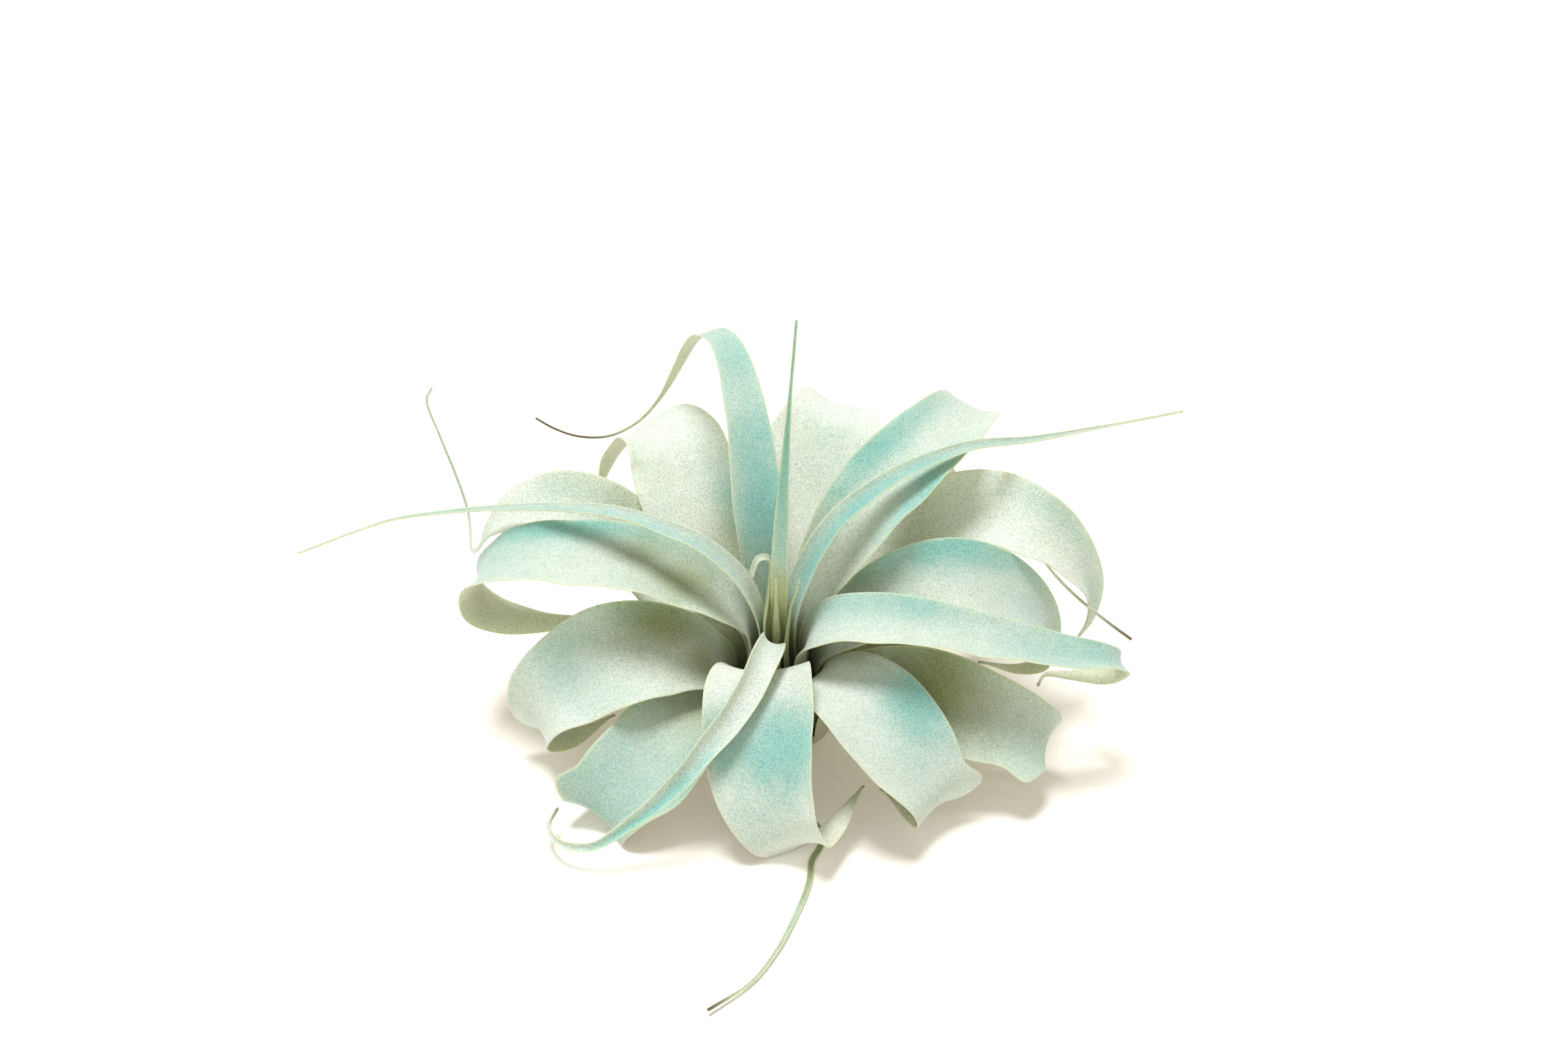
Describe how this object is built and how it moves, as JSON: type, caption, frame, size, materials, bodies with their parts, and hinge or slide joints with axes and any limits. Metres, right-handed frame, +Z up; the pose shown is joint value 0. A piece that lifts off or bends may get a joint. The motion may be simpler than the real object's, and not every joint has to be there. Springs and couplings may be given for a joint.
{
  "type": "xerographica air plant",
  "caption": "Silvery air plant: broad channelled leaves rise from a short stem, recurve and taper to thin tails in an open rosette that rests loose on a surface.",
  "frame": {"origin": "centre of the flat underside of the stem, on the surface that the plant rests on", "axes": "+z up off the surface; -y towards the side that the plant's axis leans to, the front; +x to the right seen from the front"},
  "size_m": [0.3478, 0.239, 0.1876],
  "materials": {
    "leaf_blade": "matte, silvery scales over sage green",
    "leaf_young": "matte, yellow green at the base and sage above",
    "leaf_old": "matte, grey green going brown at the tip",
    "stem": "rough, dry leaf bases"
  },
  "bodies": {
    "root": {"stem": "stem", "leaf_spear": "leaf_young", "leaf_curl_small": "leaf_young", "leaf_teal_small": "leaf_young", "leaf_needle": "leaf_young", "leaf_ribbon": "leaf_blade", "leaf_long_left": "leaf_blade", "leaf_long_right": "leaf_blade", "leaf_ribbon_front": "leaf_blade", "leaf_strap_left": "leaf_blade", "leaf_strap_right": "leaf_blade", "leaf_front": "leaf_blade", "leaf_broad_up_right": "leaf_blade", "leaf_broad_up_left": "leaf_blade", "leaf_broad_right": "leaf_blade", "leaf_broad_low_left": "leaf_blade", "leaf_broad_low_right": "leaf_blade", "leaf_back": "leaf_blade", "leaf_lower_left": "leaf_blade", "leaf_upper_right": "leaf_blade", "leaf_upper_left": "leaf_blade", "leaf_lower_right": "leaf_blade", "leaf_under_front": "leaf_old", "leaf_under_back": "leaf_old", "leaf_under_left": "leaf_old", "leaf_under_right": "leaf_old"}
  },
  "joints": []
}
